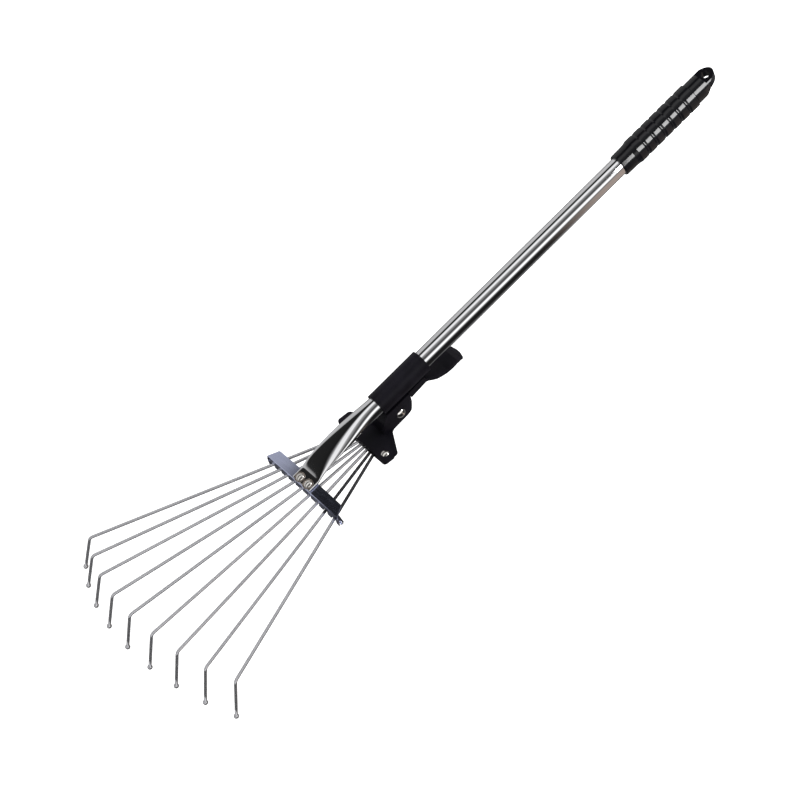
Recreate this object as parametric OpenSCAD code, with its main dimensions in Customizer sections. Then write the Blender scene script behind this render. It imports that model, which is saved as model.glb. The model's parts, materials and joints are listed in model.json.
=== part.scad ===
// Adjustable leaf rake. Nine spring wire tines fan out through a notched bar at the end of a chromed
// tube. Their inner ends hook into a slider, which a cam lever clamps on the tube: sliding it towards
// the grip draws the tines back through the bar and narrows the fan.
// The origin is the middle of the hanging hole in the grip, on the tube's axis. +X runs along the tube
// to the grip's end, +Y across the fan, and +Z away from the side that the tine tips point to.

/* [Handle] */
// Outer diameter of the tube
tube_d = 20; // [19:0.5:21]
// Wall thickness of the tube
tube_wall = 1.2; // [1:0.1:1.4]
// Distance from the hanging hole to the front of the tine bar
hole_to_bar = 590; // [480:10:900]
// Length of the pressed end of the tube, from flat to round
press_len = 108; // [80:1:108]
// Width of the tube where it is pressed flat
flat_w = 27.6; // [24:0.1:28]

/* [Grip] */
// Distance from the hanging hole to the grip's lower rim
grip_len = 129.7; // [125:0.1:150]
// Outer diameter of the plain skirt
skirt_d = 24.8; // [24:0.1:26]
// Outer diameter of the ribbed part
rib_d = 27.6; // [26.5:0.1:29]
// Number of grooves between the ribs
groove_count = 6; // [4:1:6]
// Distance from groove to groove
groove_pitch = 12; // [11:0.5:12]
// Diameter of the hanging hole
hang_hole_d = 9.4; // [8:0.1:10.5]

/* [Spreader bar] */
// Width of the bar across its front edge
bar_w = 113.6; // [112:0.1:118]
// Sheet thickness of the bar
bar_t = 1.2; // [1:0.1:1.2]
// Radius that the bar is arched to
bar_arch_r = 840; // [700:10:1200]
// Height of the bar's top above the tube's axis
bar_top_z = -6.5; // [-6.6:0.1:-6.4]
// Distance between the two rivets that hold the bar
bar_rivet_gap = 12.8; // [12:0.1:14]

/* [Tines] */
// Diameter of the tine wire
wire_d = 3.2; // [2.6:0.1:3.2]
// Distance between the tines where they pass the bar
bar_pitch = 12.55; // [12.4:0.05:12.7]
// Distance between the tines where they leave the slider
slider_pitch = 4.7; // [4.6:0.05:4.8]
// Length of the middle tine from the slider to its knee
tine_len = 292.3; // [200:0.1:320]
// Shortening of each tine, times its place from the middle squared
tine_len_drop = 0.73; // [0:0.01:1]
// Length of the bent tip
tip_len = 41.9; // [30:0.1:50]
// Angle by which the tip leans forward of square to its tine
tip_lean = 19.4; // [0:0.1:40]
// Diameter of the ball at the tip
ball_d = 5.4; // [4.2:0.1:5.6]

/* [Slider] */
// Distance from the bar to the slider's front edge, with the fan fully open
slider_gap = 78.1; // [78:0.1:80]
// Length of the sleeve
sleeve_len = 64; // [58:1:70]
// Outer diameter of the sleeve
sleeve_d = 24.8; // [24.4:0.1:25]
// Downward slope of the fan plate, in degrees
plate_tilt = 11.5; // [11:0.1:12]
// Full width of the fan plate
plate_w = 78; // [77:1:84]
// Running clearance between the sleeve and the tube
slide_gap = 0.08; // [0.05:0.01:0.1]

/* [Lever] */
// Radius of the cam
cam_r = 12.3; // [12:0.1:12.3]
// Offset of the cam's centre from its pin
cam_offset = 1; // [0.8:0.1:1]
// Diameter of the lever's pin
pin_d = 5; // [4:0.5:5]
// Width of the thumb paddle
paddle_w = 31.2; // [28:0.1:32]

/* [Hidden] */
$fn = 48;

tube_r = tube_d / 2;
wire_r = wire_d / 2;
bar_x = -hole_to_bar;
slider_x = bar_x + slider_gap;

// Tube
flat_t = 2 * tube_wall;
flat_z = bar_top_z + flat_t / 2;
tube_front_x = bar_x + 4;
flat_end_x = bar_x + 17;
press_end_x = tube_front_x + press_len;
tube_end_x = -25;
ring_points = 40;
press_steps = 20;
// Height by which the pressed end stands above the tube's axis where it opens
press_rise = 1.3;

// Bar and rod
rivet_x = bar_x + 8.6;
rivet_shank_r = 2;
rod_x = bar_x + 4;
rod_r = 1.5;
rod_arch_r = 232;
rod_top_z = -16.1;
rod_half = 56.5;
tab_y = 53.4;
tab_w = 5.6;
tab_low_z = -25.2;
notch_headroom = 1.2;
notch_play = 0.7;
notch_swing = 1.03;
notch_web = 0.15;
flange_x = 1.7;
// Lower edge of the bar's front flange: its height in the middle and the radius of its arch
flange_low_z = -12.9;
flange_arch_r = 203;

// Heights of the tines at the bar: the middle one, and the drop times its place squared
tine_bar_z = -10.2;
tine_bar_drop = 0.389;
tine_plate_z = -29.4;

// Fan plate and its cover, in the plate's own tilted frame
plate_top_z = -24.7;
plate_t = 2.6;
channel_h = 4.4;
cover_t = 2.4;
hook_depth = 6;
hook_hole_r = 1.9;
ear_u = 7.3;
ear_v = 30.1;
pad_v = 24;
cover_rivet_r = 2;

// Lever and its housing, from the slider's front edge
sleeve_x = 34.4;
pin_x = 48;
pin_z = -23.5;
pin_r = pin_d / 2;
pin_gap = 0.06;
fork_half = 7.2;
cheek_half = 12;
lever_gap = 0.3;
arm_half = 9.8;
cradle_r = 13;

chrome = [0.78, 0.78, 0.8];
zinc = [0.6, 0.63, 0.72];
steel = [0.66, 0.66, 0.68];
black = [0.1, 0.1, 0.11];

// Points of an arc about [cx, cy] from angle a0 to a1
function arc(cx, cy, r, a0, a1, n = 8) =
    [for (k = [0 : n]) [cx + r * cos(a0 + (a1 - a0) * k / n), cy + r * sin(a0 + (a1 - a0) * k / n)]];

// The other half of an outline that is the same on both sides of its x axis
function mirrored(points) = [for (k = [len(points) - 1 : -1 : 0]) [points[k][0], -points[k][1]]];

function unit(v) = v / norm(v);

// Smooth step from 0 to 1
function ease(u) = u * u * (3 - 2 * u);

// ---- shapes that repeat ----

// Cylinder between two points
module wire(a, b, r) {
    d = b - a;
    translate(a)
        rotate([0, acos(d[2] / norm(d)), atan2(d[1], d[0])])
            cylinder(r = r, h = norm(d));
}

// Cylinder along X, from x0 to x1
module bar_along_x(r, x0, x1) {
    translate([x0, 0, 0])
        rotate([0, 90, 0])
            cylinder(r = r, h = x1 - x0);
}

// Side profile of points [x, z], as wide as 2 * half across Y
module slab_across(points, half) {
    translate([0, half, 0])
        rotate([90, 0, 0])
            linear_extrude(height = 2 * half)
                polygon(points);
}

// Domed head on a flat base at z = 0
module dome(r, h) {
    cap_r = (r * r + h * h) / (2 * h);
    intersection() {
        translate([0, 0, h - cap_r])
            sphere(r = cap_r, $fn = 64);
        cylinder(r = r + 1, h = h + 1);
    }
}

// ---- handle ----

// Place along the pressed end, from 0 where it is flat to 1 where it is round
function along_press(x) = max(0, min(1, (x - flat_end_x) / (press_end_x - flat_end_x)));

// One ring of the pressed end at x, drawn in by inset
function press_ring(x, inset) =
    let (u = along_press(x),
        e = ease(u),
        half_w = tube_r + (flat_w / 2 - tube_r) * (1 - e * e) - inset,
        half_h = flat_t / 2 + (tube_r - flat_t / 2) * e - inset,
        power = 2 / (2 + 5 * pow(1 - u, 16)),
        mid_z = flat_z * pow(1 - u, 9) + press_rise * 4 * u * (1 - u))
    [for (k = [0 : ring_points - 1])
        let (c = cos(360 * k / ring_points), s = sin(360 * k / ring_points))
        [x, half_w * sign(c) * pow(abs(c), power),
            mid_z + half_h * sign(s) * pow(abs(s), power)]];

// Solid through a list of rings
module loft(rings) {
    n = len(rings[0]);
    last = len(rings) - 1;
    sides = [for (j = [0 : last - 1], k = [0 : n - 1], half = [0, 1])
        let (a = j * n + k, b = j * n + (k + 1) % n)
        half == 0 ? [b, a, a + n] : [b + n, b, a + n]];
    caps = [[for (k = [0 : n - 1]) k], [for (k = [n - 1 : -1 : 0]) last * n + k]];
    polyhedron(points = [for (ring = rings) each ring], faces = concat(sides, caps));
}

module tube() {
    seam = 2;
    span = press_end_x - flat_end_x;
    outer_x = concat([tube_front_x],
        [for (j = [0 : press_steps]) flat_end_x + span * j / press_steps]);
    inner_x = [for (j = [5 : press_steps]) flat_end_x + span * j / press_steps];
    color(chrome)
    difference() {
        union() {
            bar_along_x(tube_r, press_end_x, tube_end_x);
            loft(concat([for (x = outer_x) press_ring(x, 0.01)], [press_ring(press_end_x + seam, 0.01)]));
        }
        bar_along_x(tube_r - tube_wall, press_end_x, tube_end_x + 1);
        loft(concat([for (x = inner_x) press_ring(x, tube_wall + 0.01)],
            [press_ring(press_end_x + seam, tube_wall + 0.01)]));
        for (side = [-1, 1])
            translate([rivet_x, side * bar_rivet_gap / 2, flat_z - 5])
                cylinder(r = rivet_shank_r + 0.05, h = 10);
    }
}

module grip() {
    body_r = 12.6;
    band_r = rib_d / 2;
    groove_r = band_r - 0.65;
    skirt_r = skirt_d / 2;
    rim_x = -grip_len;
    band_x = rim_x + 20;
    step_x = -24;
    root_x = -13;
    // The tongue's outline is half an ellipse that starts at nose_x
    nose_x = -14;
    nose_len = 23.6;
    nose_half = 11.6;
    nose = [for (k = [0 : 24])
        let (a = -90 + 180 * k / 24)
        [nose_x + nose_len * cos(a), nose_half * sin(a)]];
    top_z = 8.6;
    low_z = -0.8;
    first_groove = band_x + groove_pitch;
    grooves = [for (k = [0 : groove_count - 1])
        each let (x = first_groove + k * groove_pitch)
            [[band_r, x - 2.4], [groove_r, x - 0.4], [groove_r, x + 0.4], [band_r, x + 2.4]]];
    scoop = [[-25, -12.7], [-15, -7.8], [-5.2, low_z], [5.4, low_z], [8, 1], [10, 5.4], [14, 5.4]];
    color(black)
    difference() {
        union() {
            rotate([0, 90, 0])
                rotate_extrude($fn = 64)
                    polygon(concat(
                        [[0, rim_x], [skirt_r - 0.6, rim_x], [skirt_r, rim_x + 0.8],
                            [skirt_r + 0.3, band_x - 4], [band_r - 0.6, band_x], [band_r, band_x + 1.5]],
                        grooves,
                        [[band_r, step_x - 1], [body_r, step_x], [body_r, root_x], [0, root_x]]));
            intersection() {
                bar_along_x(body_r, root_x - 1, 14);
                translate([0, 0, -14])
                    linear_extrude(height = 28)
                        polygon(concat([[nose_x - 2, -nose_half]], nose, [[nose_x - 2, nose_half]]));
                slab_across([[root_x - 2, -13], [14, -13], [14, top_z], [-7.4, top_z],
                    [-8.6, body_r], [root_x - 2, body_r + 0.4]], 14);
            }
        }
        slab_across(concat(scoop, [[14, -16], [-25, -16]]), 16);
        bar_along_x(tube_r + 0.02, rim_x - 1, tube_end_x + 0.5);
        translate([0, 0, -20])
            cylinder(r = hang_hole_d / 2, h = 40);
    }
}

// Height of the bar's tines at the bar, for place i from the middle
function tine_z(i) = tine_bar_z - tine_bar_drop * i * i;

// Angle on an arch of radius r at which the sideways distance is y
function arch_angle(y, r) = asin(y / r);

// Profile of [radius, x] points, swept along an arch of radius r from y0 to y1, whose crown is at z
module arched(r, z, y0, y1) {
    translate([0, 0, z - r])
        rotate([0, 90, 0])
            rotate([0, 0, 180 - arch_angle(y1, r)])
                rotate_extrude(angle = arch_angle(y1, r) - arch_angle(y0, r), $fn = 360)
                    children();
}

module spreader_bar() {
    r = bar_arch_r;
    front_half = bar_w / 2;
    outline = concat([[-3, -front_half - 0.7], [3, -front_half]], arc(10.5, -47.5, 5, -30, 0, 4));
    rear = [for (p = outline) [p[0], -p[1]]];
    color(zinc)
    difference() {
        union() {
            intersection() {
                translate([bar_x, 0, 0])
                    arched(r, bar_top_z, -front_half - 3, front_half + 3)
                        polygon([[r, 16.5], [r, 4], [r - 0.35, 3.2], [r - 1, 2.9], [r - 6.5, 1.1],
                            [r - 13, 0], [r - 13, 1.2], [r - 6.5, 2.3],
                            [r - bar_t, 4.2], [r - bar_t, 16.5]]);
                translate([bar_x, 0, -40])
                    linear_extrude(height = 60)
                        polygon(concat(outline, [[16, 0]],
                            [for (k = [len(rear) - 1 : -1 : 0]) rear[k]]));
            }
            for (side = [-1, 1])
                translate([rod_x - tab_w / 2, side * tab_y + (side > 0 ? 0 : -bar_t), tab_low_z])
                    cube([tab_w, bar_t, bar_top_z - bar_t - 1 - tab_low_z]);
        }
        translate([bar_x, 0, flange_low_z - flange_arch_r])
            bar_along_x(flange_arch_r, -2, 2.6, $fn = 360);
        for (i = [-4 : 4]) {
            notch_w = wire_d + notch_play + notch_swing * abs(i);
            notch_y = tine_hole(i)[1] + flange_x * tine_dir(i)[1] / tine_dir(i)[0];
            top = min(tine_z(i) + wire_r + notch_headroom, bar_top_z - bar_t - notch_web);
            translate([bar_x - 4, notch_y - notch_w / 2, top - 30])
                cube([8.3, notch_w, 30]);
        }
        for (side = [-1, 1]) {
            translate([rivet_x, side * bar_rivet_gap / 2, -20])
                cylinder(r = rivet_shank_r + 0.05, h = 20);
            // The rod's holes follow the rod's own slope
            translate([rod_x, 0, rod_top_z - rod_arch_r])
                rotate([-side * arch_angle(tab_y + bar_t / 2, rod_arch_r), 0, 0])
                    translate([0, 0, rod_arch_r])
                        rotate([90, 0, 0])
                            cylinder(r = rod_r + 0.1, h = 6, center = true);
        }
    }
}

module retaining_rod() {
    color(steel)
    translate([rod_x, 0, 0])
        arched(rod_arch_r, rod_top_z, -rod_half, rod_half)
            translate([rod_arch_r, 0])
                circle(r = rod_r);
}

module bar_rivets() {
    washer_t = 0.5;
    head_z = bar_top_z + flat_t + washer_t;
    low_z = bar_top_z - bar_t;
    color(steel)
    for (side = [-1, 1])
        translate([rivet_x, side * bar_rivet_gap / 2, 0]) {
            translate([0, 0, low_z - 1])
                cylinder(r = rivet_shank_r, h = head_z - low_z + 1.2);
            translate([0, 0, head_z])
                dome(4.2, 2);
            translate([0, 0, low_z - 1.1])
                cylinder(r = 3.2, h = 1);
        }
}

module rivet_washers() {
    color(steel)
    for (side = [-1, 1])
        translate([rivet_x, side * bar_rivet_gap / 2, bar_top_z + flat_t])
            difference() {
                cylinder(r = 5.7, h = 0.5);
                translate([0, 0, -1])
                    cylinder(r = rivet_shank_r + 0.1, h = 3);
            }
}

// ---- slider ----

// Places its children in the fan plate's tilted frame: the origin is the top of its front edge
module on_plate() {
    translate([slider_x, 0, plate_top_z])
        rotate([0, plate_tilt, 0])
            children();
}

// The housing's side profile, from the slider's front edge
housing_side = [[35, -8.5], [66, -8.5], [65.6, -14.3], [64, -21], [61, -28], [59, -31.2], [54, -33],
    [34, -33.6], [22, -31.4], [21.5, -29.7], [27, -16]];

module fan_plate() {
    half = plate_w / 2;
    side = concat(arc(4.2, half - 4.2, 4.2, 180, 90, 5), arc(14, half - 4.5, 4.5, 90, 35, 4),
        [[31, 13.5], [38, 10]]);
    on_plate()
        translate([0, 0, -plate_t])
            linear_extrude(height = plate_t)
                polygon(concat(side, mirrored(side)));
}

module slider_body() {
    color(black)
    difference() {
        union() {
            translate([slider_x, 0, 0]) {
                bar_along_x(sleeve_d / 2, sleeve_x, sleeve_x + sleeve_len);
                slab_across(housing_side, cheek_half);
            }
            fan_plate();
        }
        bar_along_x(tube_r + slide_gap, slider_x, slider_x + 120);
        // Slot for the lever, open below and through the sleeve's wall
        translate([slider_x + 35.2, -fork_half, -50])
            cube([26.5, 2 * fork_half, 45]);
        // Gap between the cheeks, behind the slot, for the lever's arm
        difference() {
            translate([slider_x + 55, -fork_half, -50])
                cube([20, 2 * fork_half, 45]);
            bar_along_x(sleeve_d / 2, slider_x + 61.7, slider_x + 80);
        }
        translate([slider_x + pin_x, 0, pin_z])
            rotate([90, 0, 0])
                cylinder(r = pin_r + 0.02, h = 40, center = true);
        on_plate()
            for (side = [-1, 1])
                translate([ear_u, side * ear_v, -10])
                    cylinder(r = cover_rivet_r + 0.05, h = 20);
    }
}

// A tine's hook: its place in the plate's frame, along and across
function tine_edge(i) = [slider_x, i * slider_pitch, tine_plate_z];
function tine_hole(i) = [bar_x, i * bar_pitch, tine_z(i)];
function tine_dir(i) = unit(tine_hole(i) - tine_edge(i));
function tine_hook(i) = tine_edge(i) + tine_dir(i) * hook_depth / tine_dir(i)[0];
plate_down = [-sin(plate_tilt), 0, -cos(plate_tilt)];

module cover_plate() {
    half = plate_w / 2 - 3.6;
    side = concat(arc(3.9, half - 3.3, 3.3, 180, 90, 4), arc(11.8, half - 4, 4, 90, 0, 4));
    low = -plate_t - channel_h - cover_t;
    color(black)
    difference() {
        on_plate()
            difference() {
                translate([0, 0, low])
                    linear_extrude(height = cover_t + channel_h)
                        polygon(concat(side, mirrored(side)));
                translate([-1, -pad_v, low + cover_t])
                    cube([14.5, 2 * pad_v, channel_h + 1]);
                for (side = [-1, 1])
                    translate([ear_u, side * ear_v, low - 1])
                        cylinder(r = cover_rivet_r + 0.05, h = 20);
            }
        for (i = [-4 : 4])
            wire(tine_hook(i), tine_hook(i) + 12 * plate_down, hook_hole_r);
    }
}

module cover_rivets() {
    low = -plate_t - channel_h - cover_t;
    color(steel)
    on_plate()
        for (side = [-1, 1])
            translate([ear_u, side * ear_v, 0]) {
                translate([0, 0, low - 0.5])
                    cylinder(r = cover_rivet_r, h = 0.7 - low);
                dome(4, 1.8);
                translate([0, 0, low - 0.9])
                    cylinder(r = 3.4, h = 0.9);
            }
}

module lever_pin() {
    color(steel)
    translate([slider_x + pin_x, 0, pin_z])
        rotate([90, 0, 0]) {
            cylinder(r = pin_r, h = 2 * cheek_half + 0.4, center = true);
            for (turn = [0, 180])
                rotate([turn, 0, 0])
                    translate([0, 0, cheek_half])
                        dome(5.3, 2.6);
        }
}

// ---- lever ----

module cam_lever() {
    half = fork_half - lever_gap;
    paddle_half = paddle_w / 2;
    arm_side = [[pin_x, -12.9], [61.5, -12.9], [61.5, -10.6], [88, -9.5], [90, -17.4], [66, -19.2],
        [58, -27], [pin_x, -24]];
    bulge_r = 49.5;
    paddle_side = [[87, -13.6], [97, -17], [112, -21], [126, -23], [132, -26.5], [136.2, -31.5],
        [134.8, -32.6], [129.5, -28.8], [124, -26.4], [112, -24.8], [98, -22.6], [87, -17.2]];
    paddle_edge = concat([[86, arm_half], [90.5, arm_half]],
        arc(113.5, paddle_half - bulge_r, bulge_r, 116, 69.3, 10), arc(129.5, 7.5, 5.2, 60, 15, 4),
        [[136.2, 3]]);
    color(black)
    translate([slider_x, 0, 0])
    difference() {
        union() {
            translate([pin_x, 0, pin_z + cam_offset])
                rotate([90, 0, 0])
                    cylinder(r = cam_r, h = 2 * half, center = true, $fn = 64);
            slab_across(arm_side, half);
            intersection() {
                slab_across(arm_side, arm_half);
                translate([66.8, -arm_half, -40])
                    cube([30, 2 * arm_half, 40]);
            }
            intersection() {
                slab_across(paddle_side, 20);
                translate([0, 0, -40])
                    linear_extrude(height = 40)
                        polygon(concat(paddle_edge, mirrored(paddle_edge)));
            }
        }
        bar_along_x(cradle_r, pin_x + 13.5, 160);
        bar_along_x(tube_r + 0.2, 0, 160);
        translate([pin_x, 0, pin_z])
            rotate([90, 0, 0])
                cylinder(r = pin_r + pin_gap, h = 40, center = true);
    }
}

// ---- tines ----

module tine(i) {
    dir = tine_dir(i);
    hook = tine_hook(i);
    knee = tine_edge(i) + dir * (tine_len - tine_len_drop * i * i);
    // All tips are bent down the same way, square to the middle tine, and lean forward along their own
    down = [-tine_dir(0)[2], 0, tine_dir(0)[0]];
    tip = knee + tip_len * (down * cos(tip_lean) + dir * sin(tip_lean));
    foot = hook + plate_down * 5.2;
    color(steel) {
        wire(hook, foot, wire_r);
        sphere_at(hook, wire_r + 0.1);
        wire(hook, knee, wire_r);
        sphere_at(knee, wire_r + 0.1);
        wire(knee, tip, wire_r);
        sphere_at(tip, ball_d / 2);
    }
}

module sphere_at(p, r) {
    translate(p)
        sphere(r = r, $fn = 32);
}

tube();
grip();
spreader_bar();
retaining_rod();
bar_rivets();
rivet_washers();
slider_body();
cover_plate();
cover_rivets();
lever_pin();
cam_lever();
tine(4);  // tine_1
tine(3);  // tine_2
tine(2);  // tine_3
tine(1);  // tine_4
tine(0);  // tine_5
tine(-1);  // tine_6
tine(-2);  // tine_7
tine(-3);  // tine_8
tine(-4);  // tine_9
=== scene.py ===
"""Leaf rake: the visual model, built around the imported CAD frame. Lengths are in metres."""

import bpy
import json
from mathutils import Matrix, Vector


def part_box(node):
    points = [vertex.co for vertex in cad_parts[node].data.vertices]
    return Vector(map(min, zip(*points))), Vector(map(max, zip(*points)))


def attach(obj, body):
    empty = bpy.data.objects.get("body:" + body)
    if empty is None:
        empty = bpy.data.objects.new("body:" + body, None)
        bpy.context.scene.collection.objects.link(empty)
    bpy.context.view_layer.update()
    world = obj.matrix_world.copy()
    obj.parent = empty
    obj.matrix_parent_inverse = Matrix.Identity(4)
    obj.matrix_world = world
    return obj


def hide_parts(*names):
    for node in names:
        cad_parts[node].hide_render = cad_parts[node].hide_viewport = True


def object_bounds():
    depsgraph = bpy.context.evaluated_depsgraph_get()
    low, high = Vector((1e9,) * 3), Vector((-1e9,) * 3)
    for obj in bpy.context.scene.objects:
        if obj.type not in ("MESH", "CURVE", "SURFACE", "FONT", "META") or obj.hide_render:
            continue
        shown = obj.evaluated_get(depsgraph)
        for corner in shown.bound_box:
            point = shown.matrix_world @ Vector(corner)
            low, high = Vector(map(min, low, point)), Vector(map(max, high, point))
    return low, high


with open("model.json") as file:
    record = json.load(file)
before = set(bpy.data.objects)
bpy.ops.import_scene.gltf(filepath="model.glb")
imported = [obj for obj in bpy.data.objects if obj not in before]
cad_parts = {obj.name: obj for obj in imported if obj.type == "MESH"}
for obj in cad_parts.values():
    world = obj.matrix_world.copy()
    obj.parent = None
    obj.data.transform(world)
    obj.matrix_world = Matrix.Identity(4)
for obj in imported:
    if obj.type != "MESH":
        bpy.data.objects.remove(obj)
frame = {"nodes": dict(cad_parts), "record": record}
cad_box = [list(corner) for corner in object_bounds()]

import json
import math

import bpy
from mathutils import Quaternion, Vector

MM = 0.001
JOINTS = {joint["name"]: joint for joint in frame["record"]["behaviour"]["joints"]}


# ---- camera: the photograph's viewing angle ----

CAMERA_AIM = Vector((-459.7, -21.3, 8.4)) * MM
CAMERA_DISTANCE = 2.5665
CAMERA_AZIMUTH = math.radians(-13.85)
CAMERA_ELEVATION = math.radians(54.0)
CAMERA_ROLL = math.radians(33.4)
CAMERA_LENS = 117


def make_camera():
    back = Vector((
        math.sin(CAMERA_AZIMUTH) * math.cos(CAMERA_ELEVATION),
        -math.cos(CAMERA_AZIMUTH) * math.cos(CAMERA_ELEVATION),
        math.sin(CAMERA_ELEVATION),
    ))
    camera = bpy.data.objects.new("camera", bpy.data.cameras.new("camera"))
    bpy.context.scene.collection.objects.link(camera)
    camera.data.lens = CAMERA_LENS
    camera.data.sensor_width = 36
    camera.data.clip_start = 0.1
    camera.data.clip_end = 50
    camera.location = CAMERA_AIM + back * CAMERA_DISTANCE
    camera.rotation_mode = "QUATERNION"
    level = (-back).to_track_quat("-Z", "Y")
    camera.rotation_quaternion = level @ Quaternion((0, 0, 1), -CAMERA_ROLL)
    bpy.context.scene.camera = camera


make_camera()


# ---- materials ----

def new_material(name):
    material = bpy.data.materials.new(name)
    material.use_nodes = True
    return material, material.node_tree.nodes, material.node_tree.links


def grain(nodes, links, scale, stretch=(1, 1, 1), detail=3.0):
    """Noise in the row frame, stretched along the axes by the given factors."""
    coord = nodes.new("ShaderNodeTexCoord")
    mapping = nodes.new("ShaderNodeMapping")
    mapping.inputs["Scale"].default_value = stretch
    noise = nodes.new("ShaderNodeTexNoise")
    noise.inputs["Scale"].default_value = scale
    noise.inputs["Detail"].default_value = detail
    links.new(coord.outputs["Object"], mapping.inputs["Vector"])
    links.new(mapping.outputs["Vector"], noise.inputs["Vector"])
    return noise.outputs["Fac"]


def spread(nodes, links, source, low, high):
    """The source's middle range mapped to low ... high."""
    node = nodes.new("ShaderNodeMapRange")
    node.inputs["From Min"].default_value = 0.3
    node.inputs["From Max"].default_value = 0.7
    node.inputs["To Min"].default_value = low
    node.inputs["To Max"].default_value = high
    links.new(source, node.inputs["Value"])
    return node.outputs["Result"]


def tinted(nodes, links, source, dark, light):
    """A colour that goes from dark to light with the source."""
    ramp = nodes.new("ShaderNodeValToRGB")
    ramp.color_ramp.elements[0].position = 0.3
    ramp.color_ramp.elements[1].position = 0.7
    ramp.color_ramp.elements[0].color = (*dark, 1)
    ramp.color_ramp.elements[1].color = (*light, 1)
    links.new(source, ramp.inputs["Fac"])
    return ramp.outputs["Color"]


def bumped(nodes, links, source, strength, distance):
    bump = nodes.new("ShaderNodeBump")
    bump.inputs["Strength"].default_value = strength
    bump.inputs["Distance"].default_value = distance
    links.new(source, bump.inputs["Height"])
    return bump.outputs["Normal"]


def leaned(nodes, links, normal, lean):
    """A normal turned slightly towards a vector."""
    added = nodes.new("ShaderNodeVectorMath")
    added.inputs[1].default_value = lean
    links.new(normal, added.inputs[0])
    unit = nodes.new("ShaderNodeVectorMath")
    unit.operation = "NORMALIZE"
    links.new(added.outputs["Vector"], unit.inputs[0])
    return unit.outputs["Vector"]


WANDER_SCALE = 40
GRAIN_DEPTH = 0.0002


def metal(name, dark, light, rough, streak=(1, 1, 1), scale=400, bump=0.02, metallic=1.0, rim=1.0,
          lean=None):
    """Plated or drawn metal: a faint tint that wanders, fine streaks in the gloss and a slight grain.

    Rim is the tint at grazing angles, and lean turns the shading normals slightly."""
    material, nodes, links = new_material(name)
    shader = nodes["Principled BSDF"]
    shader.inputs["Metallic"].default_value = metallic
    shader.inputs["Specular Tint"].default_value = (rim, rim, rim, 1)
    wander = grain(nodes, links, WANDER_SCALE, streak)
    fine = grain(nodes, links, scale, streak, 4)
    links.new(tinted(nodes, links, wander, dark, light), shader.inputs["Base Color"])
    links.new(spread(nodes, links, fine, rough * 0.7, rough * 1.4), shader.inputs["Roughness"])
    normal = bumped(nodes, links, fine, bump, GRAIN_DEPTH)
    if lean:
        normal = leaned(nodes, links, normal, lean)
    links.new(normal, shader.inputs["Normal"])
    return material


def plastic(name, dark, light, rough, specular, scale, bump):
    """Moulded plastic: a deep colour with slight mottling and a fine moulded grain."""
    material, nodes, links = new_material(name)
    shader = nodes["Principled BSDF"]
    shader.inputs["Specular IOR Level"].default_value = specular
    mottle = grain(nodes, links, 60)
    fine = grain(nodes, links, scale, (1, 1, 1), 5)
    links.new(tinted(nodes, links, mottle, dark, light), shader.inputs["Base Color"])
    links.new(spread(nodes, links, mottle, rough * 0.9, rough * 1.15), shader.inputs["Roughness"])
    links.new(bumped(nodes, links, fine, bump, GRAIN_DEPTH), shader.inputs["Normal"])
    return material


ALONG_X = (0.02, 1, 1)
ALONG_Y = (1, 0.05, 1)
CHROME = metal("chrome", (0.80, 0.80, 0.82), (0.90, 0.90, 0.91), 0.05, ALONG_X, 900, 0.008)
ZINC = metal("zinc", (0.58, 0.62, 0.84), (0.68, 0.72, 0.92), 0.12, ALONG_Y, 900, 0.008, lean=(0, 0.045, 0))
WIRE = metal("wire", (0.66, 0.66, 0.69), (0.80, 0.80, 0.83), 0.12, ALONG_X, 1500, 0.02, 0.86, 0.0)
# Painted dark reflection, on the two tines that run beside the ear
SHADED_WIRE = metal("shaded_wire", (0.05, 0.05, 0.055), (0.08, 0.08, 0.085), 0.22, ALONG_X, 1500,
                    0.02, 0.8, 0.0)
NICKEL = metal("nickel", (0.74, 0.71, 0.67), (0.88, 0.86, 0.83), 0.14)
WARM_STEEL = metal("warm_steel", (0.46, 0.39, 0.34), (0.60, 0.52, 0.46), 0.26, metallic=0.85)
GLOSS_BLACK = plastic("gloss_black", (0.003, 0.003, 0.004), (0.005, 0.005, 0.006), 0.10, 0.36, 700, 0.015)
SATIN_BLACK = plastic("satin_black", (0.004, 0.0035, 0.006), (0.008, 0.007, 0.012), 0.46, 0.17, 1600, 0.06)


# ---- building blocks ----

def mesh_piece(name, points, faces, material, smooth=True):
    mesh = bpy.data.meshes.new(name)
    mesh.from_pydata([tuple(p) for p in points], [], faces)
    mesh.validate()
    mesh.polygons.foreach_set("use_smooth", [smooth] * len(mesh.polygons))
    piece = bpy.data.objects.new(name, mesh)
    bpy.context.scene.collection.objects.link(piece)
    mesh.materials.append(material)
    return piece


def skin(name, rings, material):
    """A smooth surface through rings of points, with flat ends."""
    count = len(rings[0])
    points = [p for ring in rings for p in ring]
    faces = []
    for j in range(len(rings) - 1):
        for k in range(count):
            a = j * count + k
            b = j * count + (k + 1) % count
            faces.append((a, b, b + count, a + count))
    last = (len(rings) - 1) * count
    faces.append(tuple(reversed(range(count))))
    faces.append(tuple(range(last, last + count)))
    return mesh_piece(name, points, faces, material)


BEVEL_SEGMENTS = 3
BEVEL_FROM_ANGLE = math.radians(35)


def finish_edges(piece, width):
    """Rounded edges and clean shading."""
    bevel = piece.modifiers.new("edges", "BEVEL")
    bevel.width = width
    bevel.segments = BEVEL_SEGMENTS
    bevel.limit_method = "ANGLE"
    bevel.angle_limit = BEVEL_FROM_ANGLE
    bevel.harden_normals = False
    piece.data.polygons.foreach_set("use_smooth", [True] * len(piece.data.polygons))
    weighted = piece.modifiers.new("shading", "WEIGHTED_NORMAL")
    weighted.keep_sharp = True
    weighted.weight = 60


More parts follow.
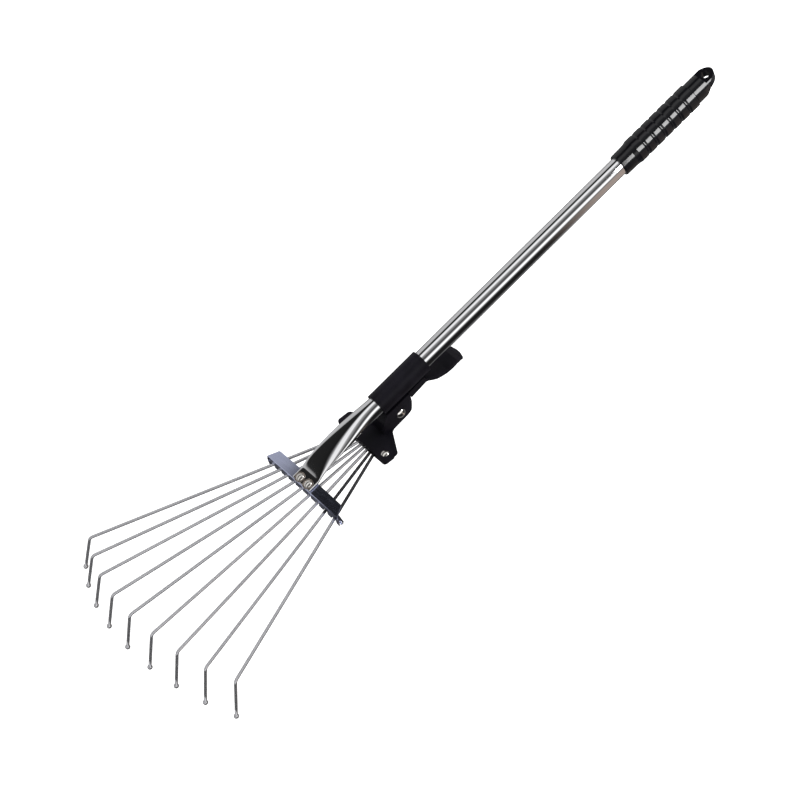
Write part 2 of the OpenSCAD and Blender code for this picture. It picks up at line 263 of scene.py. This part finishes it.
def sweep(name, path, radii, material, sides=20):
    """A round wire along a path, with a radius at each of its points."""
    rings = []
    normal = None
    for k, point in enumerate(path):
        ahead = path[min(k + 1, len(path) - 1)] - path[max(k - 1, 0)]
        ahead.normalize()
        if normal is None:
            normal = ahead.orthogonal().normalized()
        normal = (normal - ahead * normal.dot(ahead)).normalized()
        side = ahead.cross(normal)
        turns = [2 * math.pi * s / sides for s in range(sides)]
        rings.append([point + radii[k] * (normal * math.cos(t) + side * math.sin(t)) for t in turns])
    return skin(name, rings, material)


def bend(before, corner, after, radius, steps=8):
    """Points of the arc that rounds a corner."""
    start = (before - corner).normalized()
    end = (after - corner).normalized()
    half = start.angle(end) / 2
    reach = radius / math.tan(half)
    centre = corner + (start + end).normalized() * (radius / math.sin(half))
    first = corner + start * reach - centre
    last = corner + end * reach - centre
    sweep_angle = first.angle(last)
    axis = first.cross(last).normalized()
    return [centre + Quaternion(axis, sweep_angle * s / steps) @ first for s in range(steps + 1)]


def ease(u):
    return u * u * (3 - 2 * u)


def place(piece, body, node):
    """Rides on a body and stands for a CAD node."""
    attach(piece, body)
    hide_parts(node)


# ---- tube ----

tube_low, tube_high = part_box("tube")
TUBE_R = (tube_high.z - tube_low.z) / 2
FLAT_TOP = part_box("rivet_washers")[0].z
FLAT_T = 2.4 * MM
FLAT_Z = FLAT_TOP - FLAT_T / 2
FLAT_HALF = (tube_high.y - tube_low.y) / 2
FLAT_LEN = 13 * MM
PRESS_LEN = 108 * MM
# The section starts at the flat's height, and stands a little above the axis half way along
SINK_FADE = 9
PRESS_RISE = 1.3 * MM
# How square the section is at the flat, beyond an ellipse, and how fast that fades: -Y half, then +Y half
SQUARENESS = {-1: (5, 16), 1: (6, 1.5)}
TUBE_SIDES = 96
PRESS_RINGS = 64
PLAIN_RINGS = 20


def press_ring(x, inset):
    """Cross-section of the tube at x: flat at the front, then opening up to round."""
    u = min(1.0, max(0.0, (x - tube_low.x - FLAT_LEN) / (PRESS_LEN - FLAT_LEN)))
    e = ease(u)
    half_w = TUBE_R + (FLAT_HALF - TUBE_R) * (1 - e * e) - inset
    half_h = FLAT_T / 2 + (TUBE_R - FLAT_T / 2) * e - inset
    powers = {half: 2 / (2 + extra * (1 - u) ** fade) for half, (extra, fade) in SQUARENESS.items()}
    middle = FLAT_Z * (1 - u) ** SINK_FADE + PRESS_RISE * 4 * u * (1 - u)
    ring = []
    for k in range(TUBE_SIDES):
        c = math.cos(2 * math.pi * k / TUBE_SIDES)
        s = math.sin(2 * math.pi * k / TUBE_SIDES)
        power = powers[1 if c > 0 else -1]
        y = half_w * math.copysign(abs(c) ** power, c)
        z = middle + half_h * math.copysign(abs(s) ** power, s)
        ring.append(Vector((x, y, z)))
    return ring


def make_tube():
    # Two drawn-in rings round off the front edge
    stations = [(tube_low.x + 0.0002, 0.0005), (tube_low.x + 0.0006, 0.0001)]
    start = tube_low.x + 0.001
    stations += [(start + PRESS_LEN * j / PRESS_RINGS, 0) for j in range(PRESS_RINGS + 1)]
    length = tube_high.x - tube_low.x - PRESS_LEN - 0.001
    stations += [(start + PRESS_LEN + length * j / PLAIN_RINGS, 0) for j in range(1, PLAIN_RINGS + 1)]
    piece = skin("tube_shell", [press_ring(x, inset) for x, inset in stations], CHROME)
    place(piece, "handle", "tube")


make_tube()


# ---- tines ----

WIRE_R = 1.6 * MM
BALL_R = 2.7 * MM
BALL_RINGS = 10
RUN_RINGS = 48
HOOK_DROP = 3.4 * MM
HOOK_LEG = 5.1 * MM
KNEE_BEND = 4.5 * MM
HOOK_BEND = 1.8 * MM
PLATE_TILT = math.radians(11.5)
SHADED_BELOW_Y = -10 * MM
# The CAD's ball at each knee is this much larger in radius than the wire
KNEE_SWELL = 0.1 * MM
# Ways in which a tine's knee and tip lie farthest out, for a tine on the +Y side
KNEE_WAY = (-0.45, 0.25, 0.85)
TIP_WAY = (-0.8, 0.2, -0.6)


def farthest(node, direction):
    """The CAD node's farthest point along a direction."""
    points = [v.co for v in frame["nodes"][node].data.vertices]
    return max(points, key=lambda p: p.dot(direction)).copy()


def make_tine(node):
    hinge = Vector(JOINTS[node + "_hinge"]["pos_m"])
    hook = hinge + Vector((0, 0, HOOK_DROP))
    foot = hook - Vector((math.sin(PLATE_TILT), 0, math.cos(PLATE_TILT))) * HOOK_LEG
    side = math.copysign(1, hook.y) if abs(hook.y) > MM else 0
    out = Vector((KNEE_WAY[0], KNEE_WAY[1] * side, KNEE_WAY[2])).normalized()
    knee = farthest(node, out) - out * (WIRE_R + KNEE_SWELL)
    low = Vector((TIP_WAY[0], TIP_WAY[1] * side, TIP_WAY[2])).normalized()
    tip = farthest(node, low) - low * BALL_R
    path = [foot] + bend(foot, hook, knee, HOOK_BEND, 6)
    run_start = path[-1]
    knee_arc = bend(hook, knee, tip, KNEE_BEND, 10)
    path += [run_start.lerp(knee_arc[0], k / RUN_RINGS) for k in range(1, RUN_RINGS)]
    path += knee_arc
    path += [knee_arc[-1].lerp(tip, k / 4) for k in range(1, 4)]
    radii = [WIRE_R] * len(path)
    leg = (tip - knee_arc[-1]).normalized()
    neck = math.asin(WIRE_R / BALL_R)
    for k in range(BALL_RINGS):
        angle = (math.pi - neck) * (1 - k / (BALL_RINGS - 1))
        path.append(tip + leg * (BALL_R * math.cos(angle)))
        radii.append(max(BALL_R * math.sin(angle), 0.02 * MM))
    piece = sweep(node + "_wire", path, radii, WIRE)
    if hook.y < SHADED_BELOW_Y:
        # Painted dark reflection on the two tines beside the ear, where they run over the slider's front
        piece.data.materials.append(SHADED_WIRE)
        bar_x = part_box("spreader_bar")[0].x
        for face in piece.data.polygons:
            face.material_index = int(face.center.x > bar_x)
    place(piece, node, node)


for n in range(1, 10):
    make_tine(f"tine_{n}")


# ---- CAD pieces that are shown as they are, with rounded edges ----

SHOWN = {
    "grip": (GLOSS_BLACK, 0.35), "spreader_bar": (ZINC, 0.25), "retaining_rod": (WIRE, 0.2),
    "bar_rivets": (NICKEL, 0.2), "rivet_washers": (WARM_STEEL, 0.2), "slider_body": (SATIN_BLACK, 0.5),
    "cover_plate": (SATIN_BLACK, 0.4), "cover_rivets": (NICKEL, 0.2), "lever_pin": (NICKEL, 0.2),
    "cam_lever": (SATIN_BLACK, 0.5),
}
for node, (material, width) in SHOWN.items():
    piece = frame["nodes"][node]
    piece.data.materials.clear()
    piece.data.materials.append(material)
    finish_edges(piece, width * MM)


# ---- floor, sky and lights ----

# Brightness of the studio around the tube's axis: angle from the camera's side of the tube, and level.
# Positive angles turn towards the floor in front.
STUDIO_BANDS = [
    (-180, 0.08), (-150, 0.10), (-130, 0.50), (-106, 0.58), (-90, 0.56), (-80.5, 0.50), (-77.5, 0.02),
    (-62, 0.012), (-57, 0.2), (-51, 0.95), (-34, 1.0), (-26, 0.4), (-14, 0.2), (0, 0.06), (8, 0.09),
    (17, 0.6), (22, 1.3), (36, 1.3), (44, 0.5), (52, 0.1), (60, 0.012), (98, 0.012), (112, 0.04),
    (132, 0.20), (180, 0.10),
]
BAND_FACING = Vector((0, -0.58, 0.814))
BAND_SIDE = Vector((0, -0.814, -0.58))
BRIGHTEST = 1.3
WARM_PANEL = (0.40, 0.33, 0.29)


def dot_node(nodes, links, source, vector):
    node = nodes.new("ShaderNodeVectorMath")
    node.operation = "DOT_PRODUCT"
    node.inputs[1].default_value = vector
    links.new(source, node.inputs[0])
    return node.outputs["Value"]


def between(nodes, links, source, edges):
    """1 between the two middle edges, falling to 0 at the outer ones."""
    slopes = []
    for low, high in (edges[:2], (edges[3], edges[2])):
        node = nodes.new("ShaderNodeMapRange")
        node.interpolation_type = "SMOOTHSTEP"
        node.inputs["From Min"].default_value = low
        node.inputs["From Max"].default_value = high
        links.new(source, node.inputs["Value"])
        slopes.append(node.outputs["Result"])
    return product(nodes, links, *slopes)


def product(nodes, links, first, second):
    node = nodes.new("ShaderNodeMath")
    node.operation = "MULTIPLY"
    links.new(first, node.inputs[0])
    links.new(second, node.inputs[1])
    return node.outputs[0]


def make_world():
    world = bpy.data.worlds.new("studio")
    bpy.context.scene.world = world
    world.use_nodes = True
    nodes, links = world.node_tree.nodes, world.node_tree.links
    coord = nodes.new("ShaderNodeTexCoord")
    across = dot_node(nodes, links, coord.outputs["Generated"], BAND_SIDE)
    facing = dot_node(nodes, links, coord.outputs["Generated"], BAND_FACING)
    angle = nodes.new("ShaderNodeMath")
    angle.operation = "ARCTAN2"
    links.new(across, angle.inputs[0])
    links.new(facing, angle.inputs[1])
    place_on_ramp = nodes.new("ShaderNodeMapRange")
    place_on_ramp.inputs["From Min"].default_value = -math.pi
    place_on_ramp.inputs["From Max"].default_value = math.pi
    links.new(angle.outputs[0], place_on_ramp.inputs["Value"])
    ramp = nodes.new("ShaderNodeValToRGB")
    stops = ramp.color_ramp.elements
    for number, (degrees, _) in enumerate(STUDIO_BANDS):
        position = (degrees + 180) / 360
        stop = stops[number] if number < 2 else stops.new(position)
        stop.position = position
    for stop, (degrees, level) in zip(stops, STUDIO_BANDS):
        stop.position = (degrees + 180) / 360
        shade = level / BRIGHTEST
        stop.color = (shade, shade, shade, 1)
    links.new(place_on_ramp.outputs["Result"], ramp.inputs["Fac"])
    along = dot_node(nodes, links, coord.outputs["Generated"], Vector((1, 0, 0)))
    turn = angle.outputs[0]
    # A warm panel in front of the grip, whose place is set round the tube's axis and along it
    panel = between(nodes, links, turn, [math.radians(a) for a in (50, 60, 125, 140)])
    panel = product(nodes, links, panel, between(nodes, links, along, (0.222, 0.254, 0.45, 0.5)))
    warmed = nodes.new("ShaderNodeMix")
    warmed.data_type = "RGBA"
    links.new(panel, warmed.inputs["Factor"])
    # Sockets 6 and 7 are the colours A and B, and output 2 is their mix
    links.new(ramp.outputs["Color"], warmed.inputs[6])
    warmed.inputs[7].default_value = tuple(c / BRIGHTEST for c in WARM_PANEL) + (1,)
    background = nodes["Background"]
    background.inputs["Strength"].default_value = BRIGHTEST
    links.new(warmed.outputs[2], background.inputs["Color"])


make_world()


def make_floor():
    # Low enough to clear the lever when it hangs open
    pivot = Vector(JOINTS["lever_hinge"]["pos_m"])
    lever_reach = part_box("cam_lever")[1].x - pivot.x
    size = 6.0
    z = min(cad_box[0][2], pivot.z - lever_reach) - 2 * MM
    points = [(-size, -size, z), (size, -size, z), (size, size, z), (-size, size, z)]
    material, nodes, links = new_material("floor")
    shader = nodes["Principled BSDF"]
    shader.inputs["Base Color"].default_value = (0.8, 0.8, 0.8, 1)
    shader.inputs["Roughness"].default_value = 0.9
    shader.inputs["Specular IOR Level"].default_value = 0
    shader.inputs["Emission Color"].default_value = (1, 1, 1, 1)
    shader.inputs["Emission Strength"].default_value = 0.75
    floor = mesh_piece("floor", points, [(0, 1, 2, 3)], material, smooth=False)
    floor.visible_glossy = False


make_floor()


def area_light(name, location, size, power, aim, mirrored=False):
    """A rectangular lamp. Only a mirrored one shows in reflections."""
    light = bpy.data.lights.new(name, "AREA")
    light.shape = "RECTANGLE"
    light.size, light.size_y = size
    light.energy = power
    lamp = bpy.data.objects.new(name, light)
    bpy.context.scene.collection.objects.link(lamp)
    lamp.location = location
    lamp.rotation_mode = "QUATERNION"
    lamp.rotation_quaternion = (Vector(aim) - Vector(location)).to_track_quat("-Z", "Y")
    lamp.visible_glossy = mirrored
    lamp.visible_camera = False


MIDDLE = (-0.4, 0, 0)
area_light("overhead", (-0.4, 1.0, 2.4), (2.2, 1.4), 30, MIDDLE)
# A softbox beside the grip, whose reflection runs along it
grip_low, grip_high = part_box("grip")
GRIP_MIDDLE = Vector(((grip_low.x + grip_high.x) / 2, 0, 0))
SOFTBOX_WAY = Vector((0, -0.79, 0.55))
SOFTBOX_DISTANCE = 0.35
SOFTBOX_SHIFT = Vector((0.095, 0, 0))
area_light("softbox", GRIP_MIDDLE + SOFTBOX_SHIFT + SOFTBOX_WAY * SOFTBOX_DISTANCE, (0.164, 0.19), 1.6,
           GRIP_MIDDLE + SOFTBOX_SHIFT, mirrored=True)

bpy.context.scene.view_settings.view_transform = "Standard"
